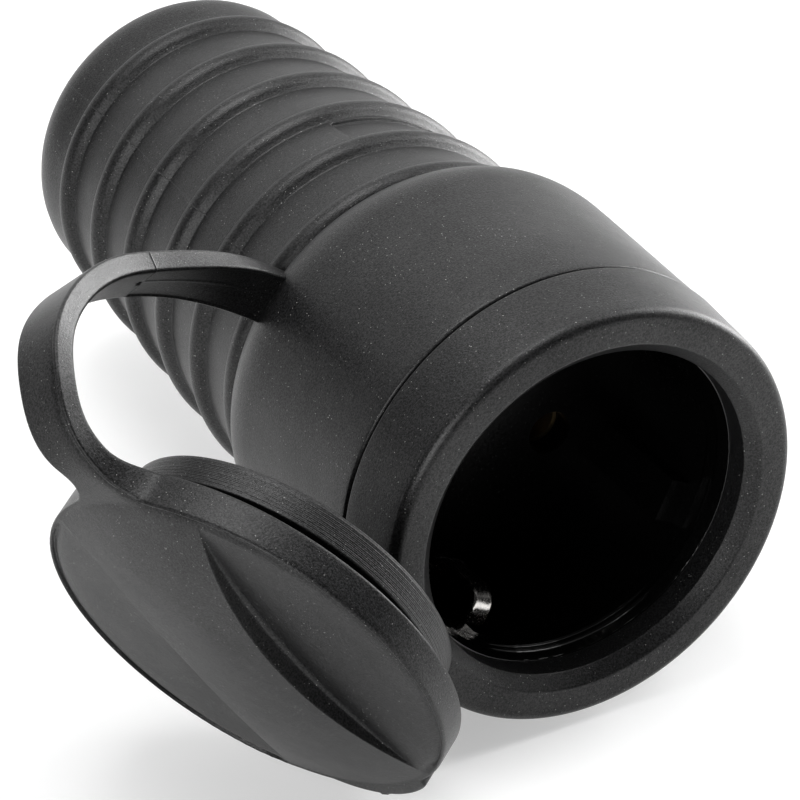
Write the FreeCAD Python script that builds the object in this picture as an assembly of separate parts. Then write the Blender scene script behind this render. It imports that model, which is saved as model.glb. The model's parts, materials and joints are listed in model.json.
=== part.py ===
"""Splash-proof inline socket connector with a captive sealing cap, modelled open and at rest."""
import FreeCAD
import Part
import math
import os

Vector = FreeCAD.Vector
Placement = FreeCAD.Placement

# The frame: the connector's axis is Y and its mouth faces -Y.
# The origin is on the axis, on the floor of the plug well, where a plug's face comes to rest.
AXIS = Vector(0, 1, 0)
ORIGIN = Vector(0, 0, 0)

# Plug well and mouth, by the round earthed type with two side clips
well_radius = 19.8
well_depth = 17.5
mouth_step = 0.7
mouth_depth = 4.4
mouth_bevel = 1.5
pin_pitch = 19.0
pin_hole_radius = 2.75
insert_roll = 26.0

# Moulded insert
insert_wall = 1.5
insert_floor = 3.0
lead_in_length = 2.1
lead_in_depth = 0.6
guide_rib_width = 5.2
guide_rib_height = 2.8
guide_rib_setback = 3.0
guide_rib_bedding = 0.4
clip_window_slip = 0.4
clip_window_setback = 2.5
boss_radius = 2.8
boss_length = 7.0
boss_setback = 6.8
boss_angle = 60.0
boss_pilot_start = 0.5

# Rubber handle
collar_length = 9.7
collar_height = 3.1
collar_edge = 1.3
rim_taper = 0.7
sleeve_seat_wall = 2.1
grip_step = 0.7
crest_step = 0.9
crest_rear_radius = 21.3
rib_count = 6
rib_pitch = 10.35
first_rib_offset = 3.2
rib_height = 1.15
rib_crest = 1.5
rib_fillet = 1.0
tail_radius = 20.9
tail_length = 12.4
tail_round = 6.0
rear_wall = 14.0
cable_hole_radius = 5.5
carrier_ledge = 1.5
chamber_rear_radius = 15.0
panel_depth = 0.4
panel_length = 5.4
panel_start = 53.0
panel_sweep = 38.0
panel_rib = 1

# Cap sleeve, the smooth ring that carries the strap
sleeve_length = 29.2
sleeve_front_wall = 2.8
sleeve_rear_wall = 1.3
sleeve_shoulder = 6.5
sleeve_shoulder_wall = 3.35
sleeve_shoulder_swell = 0.55
sleeve_edge = 0.5

# Strap, from the sleeve's rear edge to the cap
strap_width = 6.3
strap_thick = 2.65
strap_root_angle = 143.0
neck_thick = 3.1
neck_run = 1.0
neck_bedding = 3.0

# Route of the strap's middle line from its root to the cap's neck: shares of the chord between them, along
# it, level and square to it, and upwards, each with the direction of the strap's width there
strap_route = [((0.104, 0.063, 0.078), (-0.52, 0.2, -0.83)),
               ((0.211, 0.135, 0.137), (-0.42, 0.45, -0.78)),
               ((0.328, 0.207, 0.181), (-0.38, 0.56, -0.73)),
               ((0.448, 0.248, 0.217), (-0.5, 0.53, -0.68)),
               ((0.583, 0.256, 0.251), (-0.58, 0.5, -0.64)),
               ((0.72, 0.247, 0.269), (-0.58, 0.52, -0.63)),
               ((0.851, 0.222, 0.252), (-0.5, 0.6, -0.62)),
               ((0.952, 0.172, 0.184), (-0.42, 0.65, -0.63)),
               ((1.007, 0.102, 0.089), (-0.34, 0.74, -0.58))]

# Cap, open beside the mouth and standing on its rim
cap_radius = 24.5
cap_thick = 4.0
cap_crown = 3.0
cap_edge = 0.7
cap_side = -42.68
cap_forward = -21.34
cap_level = -3.85
cap_heading = 28.8
cap_dip = 23.6
cap_lean = 26.1
plug_length = 6.1
plug_taper = 0.3
plug_neck_length = 2.3
plug_neck_depth = 1.2
plug_wall = 2.4
plug_groove = 0.2
plug_groove_count = 5
bar_waist = 7.4
bar_end = 11.2
bar_end_reach = 20.3
scoop_slope = 1.0
tab_right = 9.5
tab_reach = 1.4
tab_round = 15.0
tab_turn = 8.0
tab_depth = 6.0
tab_thick = 3.7
neck_reach = 5.5
neck_width = 15.0
neck_taper = 2.6
neck_lap = 0.5
neck_flare_shift = 0.8
neck_flare_share = 0.22

# Contacts and their carrier
carrier_length = 12.0
contact_bore = 2.45
contact_wall = 0.7
contact_length = 8.6
contact_slot = 0.9
contact_foot = 1.0
contact_slit_end = 2.0
contact_tail_setback = 1.0
pocket_radius = 4.2
spring_wall = 0.5
spring_length = 4.0
spring_setback = 1.0
strip_width = 3.0
strip_thick = 0.9
clip_width = 2.8
clip_thick = 0.8
clip_recess = 0.6
clip_bow = 4.3
clip_straight = 4.0
clip_ramp = 3.4
clip_flat = 6.1
clip_nose_radius = 2.1
clip_nose_steps = 4
clip_end_setback = 0.4
cage_width = 7.0
cage_depth = 7.4
cage_length = 9.0
cage_wall = 1.2
earth_cage_offset = 10.0
terminal_screw_radius = 1.9
terminal_head_radius = 2.5
terminal_head_height = 2.2
terminal_screw_start = 1.0
carrier_screw_radius = 1.3
carrier_head_radius = 2.6
carrier_head_height = 1.8
cross_length = 3.2
cross_width = 0.7
cross_depth = 0.8
slot_width = 0.8
slot_depth = 0.6
screw_end_gap = 1.0

# Cable clamp
shelf_width = 19.0
shelf_thick = 3.0
shelf_level = -6.0
shelf_length = 26.0
pillar_height = 4.0
pillar_size = 6.0
saddle_width = 7.0
saddle_thick = 3.2
saddle_arch = 4.6
saddle_setback = 1.0
clamp_screw_spacing = 13.4
clamp_screw_radius = 1.5
clamp_head_radius = 2.7
clamp_head_height = 1.9
nut_size = 5.5
nut_thick = 2.4
clamp_screw_tail = 1.5

# Allowances for cutting and joining: how far a tool overruns and how far joined parts overlap
overrun = 1.0
overlap = 0.2

# Clearances
slip = 0.2
screw_slip = 0.12
pocket_slip = 0.3
gap_line = 0.3

# Places worked out from the sizes
mouth_radius = well_radius + mouth_step
clip_reach = well_radius + clip_recess
well_front = -well_depth
insert_front = well_front - lead_in_length
rim_front = insert_front - mouth_depth
collar_rear = rim_front + collar_length
sleeve_front = collar_rear + gap_line
sleeve_rear = sleeve_front + sleeve_length
seat_rear = sleeve_rear + slip
insert_radius = well_radius + insert_wall
bore_radius = insert_radius + slip
boss_spacing = insert_radius - boss_setback
chamber_front_radius = bore_radius - carrier_ledge
sleeve_seat_radius = bore_radius + sleeve_seat_wall
collar_radius = sleeve_seat_radius + collar_height
rim_radius = collar_radius - rim_taper
grip_front_radius = sleeve_seat_radius + grip_step
crest_front_radius = sleeve_seat_radius + crest_step
sleeve_bore = sleeve_seat_radius + slip
sleeve_front_radius = sleeve_bore + sleeve_front_wall
sleeve_shoulder_radius = sleeve_bore + sleeve_shoulder_wall
sleeve_rear_radius = sleeve_bore + sleeve_rear_wall
strap_root_radius = sleeve_rear_radius - overlap
plug_radius = mouth_radius - slip
plug_end_radius = plug_radius - plug_taper
carrier_front = insert_floor
carrier_rear = carrier_front + carrier_length
first_rib = sleeve_rear + first_rib_offset
last_rib = first_rib + (rib_count - 1) * rib_pitch
rear_end = last_rib + tail_length
chamber_rear = rear_end - rear_wall
pin_offset = pin_pitch / 2
contact_front = carrier_front + pocket_slip
contact_rear = contact_front + contact_length
contact_radius = contact_bore + contact_wall
shelf_rear = carrier_rear + shelf_length
saddle_middle = shelf_rear - saddle_width / 2 - saddle_setback
pillar_top = shelf_level + pillar_height


def arc(start, middle, end):
    """Circular edge through three points."""
    return Part.Arc(start, middle, end).toShape()


def line(start, end):
    """Straight edge between two points."""
    return Part.LineSegment(start, end).toShape()


def meridian(radius, along):
    """Point of a lathe profile: distance from the axis and place along it."""
    return Vector(radius, along, 0)


def lathe(points):
    """Solid turned about the connector's axis from a closed outline of (radius, place) pairs."""
    corners = [meridian(*point) for point in points]
    wire = Part.makePolygon(corners + [corners[0]])
    return Part.Face(wire).revolve(ORIGIN, AXIS, 360)


def lathe_edges(edges):
    """Solid turned about the connector's axis from a closed chain of edges."""
    wire = Part.Wire(Part.__sortEdges__(edges))
    return Part.Face(wire).revolve(ORIGIN, AXIS, 360)


def rod(radius, start, length, direction=AXIS):
    """Round rod from a start point along a direction."""
    return Part.makeCylinder(radius, length, start, direction)


def block(size, centre):
    """Rectangular block about its centre."""
    corner = Vector(*centre) - Vector(*size) * 0.5
    return Part.makeBox(*size, corner)


def rolled(shape):
    """Shape turned about the axis with the insert and all that it carries."""
    turned = shape.copy()
    turned.rotate(ORIGIN, AXIS, insert_roll)
    return turned


def crest_radius(along):
    """Radius over a grip rib's crest at a place along the axis."""
    share = (along - first_rib) / (last_rib - first_rib)
    return crest_front_radius + share * (crest_rear_radius - crest_front_radius)


def rib_edges(along):
    """A rounded grip rib with a fillet at each foot, and its two foot points."""
    land = crest_radius(along) - rib_height
    crest_centre = land + rib_height - rib_crest
    reach = rib_crest + rib_fillet
    half = math.sqrt(reach ** 2 - (reach - rib_height) ** 2)
    tilt = math.asin(half / reach)
    edges = []
    for side in (-1, 1):
        foot = meridian(land, along + side * half)
        mid_angle = tilt / 2
        mid = meridian(land + rib_fillet - rib_fillet * math.cos(mid_angle),
                       along + side * (half - rib_fillet * math.sin(mid_angle)))
        join = meridian(crest_centre + rib_crest * math.cos(tilt), along + side * rib_crest * math.sin(tilt))
        edges.append(arc(foot, mid, join))
    joins = [meridian(crest_centre + rib_crest * math.cos(tilt), along + side * rib_crest * math.sin(tilt))
             for side in (-1, 1)]
    edges.append(arc(joins[0], meridian(crest_centre + rib_crest, along), joins[1]))
    return edges, meridian(land, along - half), meridian(land, along + half)


def handle_outline():
    """Outer line of the handle from its mouth to its cable end."""
    edges = []
    mouth = meridian(mouth_radius, rim_front + mouth_bevel)
    bevel = meridian(mouth_radius + mouth_bevel, rim_front)
    face = meridian(rim_radius - collar_edge, rim_front)
    edge_mid = meridian(rim_radius - collar_edge * (1 - math.sin(math.pi / 4)),
                        rim_front + collar_edge * (1 - math.cos(math.pi / 4)))
    side = meridian(rim_radius, rim_front + collar_edge)
    back = meridian(collar_radius, collar_rear)
    seat_front = meridian(sleeve_seat_radius, collar_rear)
    seat_back = meridian(sleeve_seat_radius, seat_rear)
    shoulder = meridian(grip_front_radius, seat_rear)
    edges.append(line(mouth, bevel))
    edges.append(line(bevel, face))
    edges.append(arc(face, edge_mid, side))
    edges.append(line(side, back))
    edges.append(line(back, seat_front))
    edges.append(line(seat_front, seat_back))
    edges.append(line(seat_back, shoulder))
    last = shoulder
    for number in range(rib_count):
        rib, foot, end = rib_edges(first_rib + number * rib_pitch)
        edges.append(line(last, foot))
        edges.extend(rib)
        last = end
    tail = meridian(tail_radius, rear_end - tail_round)
    round_mid = meridian(tail_radius - tail_round * (1 - math.sin(math.pi / 4)),
                         rear_end - tail_round * (1 - math.cos(math.pi / 4)))
    round_end = meridian(tail_radius - tail_round, rear_end)
    edges.append(line(last, tail))
    edges.append(arc(tail, round_mid, round_end))
    return edges, mouth, round_end


def label_panel():
    """Shallow bare panel sunk in a land between two grip ribs."""
    middle = first_rib + (panel_rib + 0.5) * rib_pitch
    floor = crest_radius(middle) - rib_height - panel_depth
    above = crest_radius(middle) + overrun
    half = panel_length / 2
    corners = [meridian(floor, middle - half), meridian(floor, middle + half),
               meridian(above, middle + half), meridian(above, middle - half)]
    face = Part.Face(Part.makePolygon(corners + [corners[0]]))
    sector = face.revolve(ORIGIN, AXIS, panel_sweep)
    sector.rotate(ORIGIN, AXIS, -panel_start - panel_sweep)
    return sector


def rubber_handle():
    """Ribbed handle, sleeve seat and mouth collar, moulded in one piece of rubber."""
    edges, mouth, rear = handle_outline()
    inside = [rear, meridian(cable_hole_radius, rear_end), meridian(cable_hole_radius, chamber_rear),
              meridian(chamber_rear_radius, chamber_rear), meridian(chamber_front_radius, carrier_rear),
              meridian(bore_radius, carrier_rear), meridian(bore_radius, insert_front),
              meridian(mouth_radius, insert_front), mouth]
    for start, end in zip(inside, inside[1:]):
        edges.append(line(start, end))
    return lathe_edges(edges).cut(label_panel())


def sleeve_ring():
    """Smooth ring of the cap moulding, seated between the collar and the grip."""
    inside_front = meridian(sleeve_bore, sleeve_front)
    inside_rear = meridian(sleeve_bore, sleeve_rear)
    front = meridian(sleeve_front_radius - sleeve_edge, sleeve_front)
    front_edge = meridian(sleeve_front_radius, sleeve_front + sleeve_edge)
    shoulder = meridian(sleeve_shoulder_radius, sleeve_rear - sleeve_shoulder)
    rear_edge = meridian(sleeve_rear_radius, sleeve_rear)
    middle = (shoulder + rear_edge) * 0.5 + Vector(sleeve_shoulder_swell, sleeve_shoulder_swell, 0)
    edges = [line(inside_front, front), line(front, front_edge), line(front_edge, shoulder),
             arc(shoulder, middle, rear_edge), line(rear_edge, inside_rear), line(inside_rear, inside_front)]
    return lathe_edges(edges)


def cap_placement():
    """Placement of the open cap: its X runs from neck to tip, its Z is the outward direction."""
    heading = math.radians(cap_heading)
    dip = math.radians(cap_dip)
    lean = math.radians(cap_lean)
    outward = Vector(-math.cos(heading) * math.cos(dip), -math.sin(heading) * math.cos(dip), -math.sin(dip))
    downhill = Vector(math.cos(heading) * math.sin(dip), math.sin(heading) * math.sin(dip), -math.cos(dip))
    across = outward.cross(downhill)
    tip = downhill * math.cos(lean) + across * math.sin(lean)
    side = outward.cross(tip)
    matrix = FreeCAD.Matrix(tip.x, side.x, outward.x, cap_side,
                            tip.y, side.y, outward.y, cap_forward,
                            tip.z, side.z, outward.z, cap_level,
                            0, 0, 0, 1)
    return Placement(matrix)


def strap_stations():
    """Middle line of the strap and its width directions, from the sleeve round to the cap's neck."""
    placement = cap_placement()
    turn = placement.Rotation
    angle = math.radians(strap_root_angle)
    radial = Vector(math.cos(angle), 0, math.sin(angle))
    around = Vector(-math.sin(angle), 0, math.cos(angle))
    root = radial * strap_root_radius + Vector(0, sleeve_rear - strap_thick / 2, 0)
    neck = placement.multVec(Vector(-cap_radius - neck_run, 0, -neck_thick / 2))
    bedded = placement.multVec(Vector(-cap_radius + neck_bedding, 0, -cap_thick / 2))
    side = turn.multVec(Vector(0, 1, 0))
    chord = neck - root
    level = chord.cross(Vector(0, 0, 1))
    upward = level.cross(chord) / chord.Length
    stations = [(root, around * -1)]
    for (along, sideways, lift), across in strap_route:
        stations.append((root + chord * along + level * sideways + upward * lift, Vector(*across)))
    return stations + [(neck, side), (bedded, side)]


def strap():
    """Flat strap: one loft through rectangular sections square to its middle line."""
    stations = strap_stations()
    middles = [place for place, _ in stations]
    curve = Part.BSplineCurve()
    curve.interpolate(middles)
    sections = []
    thicks = [strap_thick] * (len(stations) - 2) + [neck_thick, cap_thick]
    for (place, across), depth in zip(stations, thicks):
        run = curve.tangent(curve.parameter(place))[0]
        width = (across - run * across.dot(run)).normalize()
        thick = run.cross(width)
        half_width = width * (strap_width / 2)
        half_thick = thick * (depth / 2)
        corners = [place - half_width - half_thick, place + half_width - half_thick,
                   place + half_width + half_thick, place - half_width + half_thick]
        sections.append(Part.makePolygon(corners + [corners[0]]))
    return Part.makeLoft(sections, True, False)


def cap_disc():
    """Crowned flange and hollow ridged plug of the cap, turned about its own Z."""
    low = -cap_thick
    end = low - plug_length
    neck_end = low - plug_neck_length
    neck = plug_radius - plug_neck_depth
    ridged = plug_length - plug_neck_length
    pitch = ridged / (plug_groove_count + 1)
    edges = []
    top = Vector(0, 0, cap_crown)
    crease = Vector(cap_radius - cap_edge, 0, 0)
    share = (crease.x / 2) / crease.x
    crown_mid = Vector(crease.x / 2, 0, cap_crown * (1 - share ** 2))
    edges.append(arc(top, crown_mid, crease))
    chain = [crease, Vector(cap_radius, 0, -cap_edge), Vector(cap_radius, 0, low), Vector(neck, 0, low),
             Vector(neck, 0, neck_end), Vector(plug_radius, 0, neck_end)]
    for number in range(plug_groove_count):
        depth = (number + 1) * pitch
        wall = plug_radius - plug_taper * depth / ridged
        chain.append(Vector(wall, 0, neck_end - depth + plug_groove))
        chain.append(Vector(wall - plug_groove, 0, neck_end - depth))
        chain.append(Vector(wall, 0, neck_end - depth - plug_groove))
    inner = plug_end_radius - plug_wall
    chain.extend([Vector(plug_end_radius, 0, end + plug_groove), Vector(plug_end_radius - plug_groove, 0, end),
                  Vector(inner, 0, end), Vector(inner, 0, low), Vector(0, 0, low), top])
    for start, stop in zip(chain, chain[1:]):
        edges.append(line(start, stop))
    face = Part.Face(Part.Wire(Part.__sortEdges__(edges)))
    return face.revolve(ORIGIN, Vector(0, 0, 1), 360)


def scoop(side):
    """Cutter for the crescent finger scoop beside the cap's grip bar."""
    far = side * (cap_radius + overrun)
    left = Vector(-bar_end_reach, side * bar_end, 0)
    right = Vector(bar_end_reach, side * bar_end, 0)
    waist = Vector(0, side * bar_waist, 0)
    outline = [arc(left, waist, right), line(right, Vector(bar_end_reach, far, 0)),
               line(Vector(bar_end_reach, far, 0), Vector(-bar_end_reach, far, 0)),
               line(Vector(-bar_end_reach, far, 0), left)]
    prism = Part.Face(Part.Wire(outline)).extrude(Vector(0, 0, cap_crown + overrun))
    prism.rotate(Vector(0, side * cap_radius, 0), Vector(1, 0, 0), -side * scoop_slope)
    return prism


def neck_plate():
    """Flare that widens the strap into the end of the grip bar."""
    inner_x = -math.sqrt(cap_radius ** 2 - (neck_width / 2) ** 2) + neck_lap
    outer_x = -cap_radius - neck_reach
    half_inner = neck_width / 2
    half_outer = strap_width / 2
    mid_x = (inner_x + outer_x) / 2 + neck_flare_shift
    mid_half = half_outer + (half_inner - half_outer) * neck_flare_share
    edges = []
    corners = [Vector(outer_x, -half_outer, 0), Vector(outer_x, half_outer, 0)]
    edges.append(line(corners[0], corners[1]))
    edges.append(arc(corners[1], Vector(mid_x, mid_half, 0), Vector(inner_x, half_inner, 0)))
    edges.append(line(Vector(inner_x, half_inner, 0), Vector(inner_x, -half_inner, 0)))
    edges.append(arc(Vector(inner_x, -half_inner, 0), Vector(mid_x, -mid_half, 0), corners[0]))
    plate = Part.Face(Part.Wire(edges)).extrude(Vector(0, 0, -cap_thick))
    profile = [Vector(outer_x, 0, 0), Vector(inner_x, 0, 0), Vector(inner_x, 0, -cap_thick),
               Vector(-cap_radius, 0, -cap_thick), Vector(-cap_radius - neck_taper, 0, -strap_thick),
               Vector(outer_x, 0, -strap_thick)]
    wedge = Part.Face(Part.makePolygon(profile + [profile[0]])).extrude(Vector(0, neck_width, 0))
    wedge.translate(Vector(0, -neck_width / 2, 0))
    return plate.common(wedge)


def cap_body():
    """Cap in its own frame: disc with grip bar, scoops, finger tab and the strap's flare."""
    body = cap_disc()
    for side in (-1, 1):
        body = body.cut(scoop(side))
    tab_middle = (cap_radius + tab_reach - tab_depth / 2, (tab_right - cap_radius) / 2, -tab_thick / 2)
    tab = block((tab_depth, cap_radius + tab_right, tab_thick), tab_middle)
    turn = math.radians(tab_turn)
    throw = cap_radius + tab_reach - tab_round
    rim_foot = Vector(throw * math.cos(turn), throw * math.sin(turn), -tab_thick)
    rim = Part.makeCylinder(tab_round, tab_thick, rim_foot)
    return body.fuse(tab.common(rim)).fuse(neck_plate())


def cap_with_strap():
    """Sleeve ring, strap and sealing cap, moulded in one piece of soft rubber."""
    body = cap_body()
    body.Placement = cap_placement()
    whole = sleeve_ring().fuse([strap(), body])
    return whole.removeSplitter()


def socket_insert():
    """Plug well with pin holes, guide ribs, earth clip windows and rear screw bosses."""
    shell = lathe([(0, 0), (well_radius, 0), (well_radius, well_front),
                   (well_radius + lead_in_depth, insert_front), (insert_radius, insert_front),
                   (insert_radius, insert_floor), (0, insert_floor)])
    rib_inner = well_radius - guide_rib_height
    rib_span = insert_radius - guide_rib_bedding - rib_inner
    rib_length = well_depth - guide_rib_setback
    for side in (-1, 1):
        centre = (side * (rib_inner + rib_span / 2), (overrun - rib_length) / 2, 0)
        shell = shell.fuse(block((rib_span, rib_length + overrun, guide_rib_width), centre))
        angle = math.radians(boss_angle + (0 if side > 0 else 180))
        foot = Vector(boss_spacing * math.cos(angle), insert_floor - overlap, boss_spacing * math.sin(angle))
        shell = shell.fuse(rod(boss_radius, foot, boss_length + overlap))
    for side in (-1, 1):
        window_length = well_depth - clip_window_setback + insert_floor + overrun
        centre = (0, insert_floor + overrun - window_length / 2, side * (clip_reach + overrun))
        shell = shell.cut(block((clip_width + 2 * clip_window_slip, window_length, 4 * overrun), centre))
        pin_hole = Vector(side * pin_offset, -overrun, 0)
        shell = shell.cut(rod(pin_hole_radius, pin_hole, insert_floor + 2 * overrun))
        angle = math.radians(boss_angle + (0 if side > 0 else 180))
        pilot = Vector(boss_spacing * math.cos(angle), insert_floor + boss_pilot_start,
                       boss_spacing * math.sin(angle))
        shell = shell.cut(rod(carrier_screw_radius + screw_slip, pilot, boss_length))
    return rolled(shell)


def boss_points():
    """Places of the two screws that hold the carrier to the insert."""
    points = []
    for turn in (0, 180):
        angle = math.radians(boss_angle + turn)
        points.append(Vector(boss_spacing * math.cos(angle), 0, boss_spacing * math.sin(angle)))
    return points


def contact_carrier():
    """Rear insulating body: contact pockets, earth strip groove and the cable shelf."""
    body = lathe([(0, carrier_front), (insert_radius, carrier_front), (insert_radius, carrier_rear),
                  (0, carrier_rear)])
    shelf_centre = (0, carrier_rear + (shelf_length - overrun) / 2, shelf_level - shelf_thick / 2)
    body = body.fuse(block((shelf_width, shelf_length + overrun, shelf_thick), shelf_centre))
    for side in (-1, 1):
        pillar = (side * clamp_screw_spacing / 2, saddle_middle, shelf_level + (pillar_height - overlap) / 2)
        body = body.fuse(block((pillar_size, saddle_width, pillar_height + overlap), pillar))
    for side in (-1, 1):
        pocket = Vector(side * pin_offset, carrier_front - overrun, 0)
        body = body.cut(rod(pocket_radius, pocket, contact_rear - carrier_front + overrun))
        slot = (side * (pin_offset - contact_strip_shift()), (contact_rear + carrier_rear) / 2, 0)
        slot_length = carrier_rear - contact_rear + 2 * overrun
        body = body.cut(block((strip_thick + 2 * slip, slot_length, strip_width + 2 * slip), slot))
        hole = Vector(side * clamp_screw_spacing / 2, saddle_middle, shelf_level - shelf_thick - overrun)
        hole_length = shelf_thick + pillar_height + 2 * overrun
        body = body.cut(rod(clamp_screw_radius + screw_slip, hole, hole_length, Vector(0, 0, 1)))
        nut_place = (side * clamp_screw_spacing / 2, saddle_middle, shelf_level - shelf_thick)
        nut_room = (nut_size + slip, nut_size + slip, nut_thick)
        body = body.cut(block(nut_room, nut_place))
    groove_size = (clip_width + 2 * slip, 2 * (clip_thick + slip), 2 * (insert_radius + overrun))
    body = body.cut(block(groove_size, (0, carrier_front, 0)))
    earth_slot = (0, carrier_front + carrier_length / 2, earth_cage_offset - cage_depth / 2
                  + cage_wall + strip_thick / 2)
    earth_slot_length = carrier_length + 2 * overrun
    body = body.cut(block((strip_width + 2 * slip, earth_slot_length, strip_thick + 2 * slip), earth_slot))
    for point in boss_points():
        recess = point + Vector(0, carrier_front - overrun, 0)
        body = body.cut(rod(boss_radius + slip, recess, boss_length + slip + overrun))
        body = body.cut(rod(carrier_screw_radius + screw_slip, recess, carrier_length + 2 * overrun))
    return rolled(body)


def contact_strip_shift():
    """How far a contact's tail lies towards the axis from the pin's centre line."""
    return cage_depth / 2 - cage_wall - strip_thick / 2


def pin_contact(side):
    """Slotted contact tube with its foot disc and the flat tail that enters the terminal."""
    place = Vector(side * pin_offset, contact_front, 0)
    tube = rod(contact_radius, place, contact_length)
    bore_length = contact_length - contact_foot + overrun
    tube = tube.cut(rod(contact_bore, place + Vector(0, -overrun, 0), bore_length))
    slit_length = contact_length - contact_slit_end + overrun
    slit = (side * pin_offset, contact_front + slit_length / 2 - overrun, 0)
    tube = tube.cut(block((contact_slot, slit_length, 4 * contact_radius), slit))
    tail_length = carrier_rear + cage_length - contact_tail_setback - contact_rear
    tail_x = side * (pin_offset - contact_strip_shift())
    tail = block((strip_thick, tail_length + overlap, strip_width),
                 (tail_x, contact_rear + (tail_length - overlap) / 2, 0))
    return rolled(tube.fuse(tail))


def contact_spring(side):
    """Split steel ring that keeps the contact tube closed on the pin."""
    place = Vector(side * pin_offset, contact_front + spring_setback, 0)
    inner = contact_radius + screw_slip / 2
    ring = rod(inner + spring_wall, place, spring_length)
    ring = ring.cut(rod(inner, place + Vector(0, -overrun, 0), spring_length + 2 * overrun))
    split = (side * (pin_offset + inner), place.y + spring_length / 2, 0)
    return rolled(ring.cut(block((4 * spring_wall, spring_length + 2 * overrun, contact_slot), split)))


def clip_line(side):
    """Middle line of one earth clip: cross strip, straight, ramp, pressing flat and outward nose."""
    base = carrier_front + clip_thick / 2
    reach = side * clip_reach
    inner = side * (clip_reach - clip_bow)
    flat_start = base - clip_straight - clip_ramp
    flat_end = flat_start - clip_flat
    points = [Vector(0, base, 0), Vector(0, base, reach), Vector(0, base - clip_straight, reach),
              Vector(0, flat_start, inner), Vector(0, flat_end, inner)]
    for step in range(1, clip_nose_steps + 1):
        angle = math.pi / 2 * step / clip_nose_steps
        points.append(Vector(0, flat_end - clip_nose_radius * math.sin(angle),
                             inner + side * clip_nose_radius * (1 - math.cos(angle))))
    return points + [Vector(0, flat_end - clip_nose_radius, reach - side * clip_end_setback)]


def ribbon(points, width, thick):
    """Bent flat strip: straight runs of rectangular section, joined with round elbows."""
    solid = None
    for start, end in zip(points, points[1:]):
        run = end - start
        piece = Part.makeBox(width, run.Length, thick, Vector(-width / 2, 0, -thick / 2))
        angle = math.degrees(math.atan2(run.z, run.y))
        piece.rotate(ORIGIN, Vector(1, 0, 0), angle)
        piece.translate(start)
        solid = piece if solid is None else solid.fuse(piece)
    for corner in points[1:-1]:
        elbow = rod(thick / 2, corner + Vector(-width / 2, 0, 0), width, Vector(1, 0, 0))
        solid = solid.fuse(elbow)
    return solid


def earth_bow():
    """Earth contact: cross strip, two bowed side clips and the terminal tail, bent from one strip."""
    bow = ribbon(clip_line(1), clip_width, clip_thick).fuse(ribbon(clip_line(-1), clip_width, clip_thick))
    tail_length = carrier_rear + cage_length - contact_tail_setback - carrier_front
    level = earth_cage_offset - cage_depth / 2 + cage_wall + strip_thick / 2
    tail = block((strip_width, tail_length, strip_thick), (0, carrier_front + tail_length / 2, level))
    return rolled(bow.fuse(tail).removeSplitter())


def terminal_frame(name):
    """Centre of a terminal's foot and the direction its screw is driven from."""
    places = {"live": (Vector(-pin_offset, carrier_rear, 0), Vector(-1, 0, 0)),
              "neutral": (Vector(pin_offset, carrier_rear, 0), Vector(1, 0, 0)),
              "earth": (Vector(0, carrier_rear, earth_cage_offset), Vector(0, 0, 1))}
    return places[name]


def terminal_cage(name):
    """Brass cage that clamps one wire on a contact tail."""
    foot, out = terminal_frame(name)
    radial_x = abs(out.x) > 0.5
    size = (cage_depth, cage_length, cage_width) if radial_x else (cage_width, cage_length, cage_depth)
    inner = tuple(value - 2 * cage_wall for value in size)
    centre = (foot.x, foot.y + cage_length / 2, foot.z)
    body = block(size, centre)
    body = body.cut(block((inner[0], cage_length + 2 * overrun, inner[2]), centre))
    start = Vector(*centre)
    return rolled(body.cut(rod(terminal_screw_radius + screw_slip, start, cage_depth, out)))


def terminal_screw(name):
    """Slotted terminal screw, driven from outside towards the wire."""
    foot, out = terminal_frame(name)
    start = foot + Vector(0, cage_length / 2, 0) + out * terminal_screw_start
    shank = cage_depth / 2 - terminal_screw_start
    head = start + out * shank
    body = rod(terminal_screw_radius, start, shank + overlap, out)
    body = body.fuse(rod(terminal_head_radius, head, terminal_head_height, out))
    slot_centre = head + out * terminal_head_height
    slot_run = 2 * (terminal_head_radius + overrun)
    size = (2 * slot_depth, slot_width, slot_run)
    if abs(out.x) < 0.5:
        size = (slot_run, slot_width, 2 * slot_depth)
    return rolled(body.cut(block(size, tuple(slot_centre))))


def carrier_screw(number):
    """Screw through the carrier into the insert's boss, with a cross recess."""
    point = boss_points()[number]
    tip = point + Vector(0, insert_floor + screw_end_gap, 0)
    length = carrier_rear - tip.y
    body = rod(carrier_screw_radius, tip, length + overlap)
    head = point + Vector(0, carrier_rear, 0)
    body = body.fuse(rod(carrier_head_radius, head, carrier_head_height))
    top = head + Vector(0, carrier_head_height, 0)
    for size in ((cross_length, 2 * cross_depth, cross_width), (cross_width, 2 * cross_depth, cross_length)):
        body = body.cut(block(size, tuple(top)))
    return rolled(body)


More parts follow.
